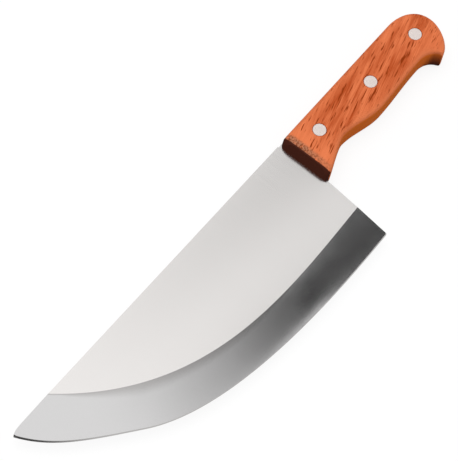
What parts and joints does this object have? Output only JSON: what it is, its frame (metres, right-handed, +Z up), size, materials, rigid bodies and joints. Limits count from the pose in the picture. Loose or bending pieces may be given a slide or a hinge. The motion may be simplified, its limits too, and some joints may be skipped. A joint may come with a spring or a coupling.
{
  "type": "cleaver",
  "caption": "Broad butcher's cleaver: curved steel blade with a ground bevel sweeping up to the tip, tang riveted between contoured hardwood scales with a beaked butt.",
  "frame": {"origin": "middle of the underside of the bounding box, with the cleaver lying flat on its right side", "axes": "+X from the blade's tip to the handle's butt, +Y from the cutting edge to the spine, +Z up out of the left side"},
  "size_m": [0.3526, 0.0822, 0.019],
  "materials": {
    "satin_steel": "fine satin polish on the flats, polished bevel, honed edge",
    "red_hardwood": "orange-red open-pored hardwood under a thin satin lacquer, dark end grain",
    "rivet_aluminium": "sanded flush with the wood"
  },
  "bodies": {
    "root": {"blade": "satin_steel", "scale_left": "red_hardwood", "scale_right": "red_hardwood", "rivet_front_pin": "rivet_aluminium", "rivet_front_socket": "rivet_aluminium", "rivet_middle_pin": "rivet_aluminium", "rivet_middle_socket": "rivet_aluminium", "rivet_butt_pin": "rivet_aluminium", "rivet_butt_socket": "rivet_aluminium"}
  },
  "joints": []
}
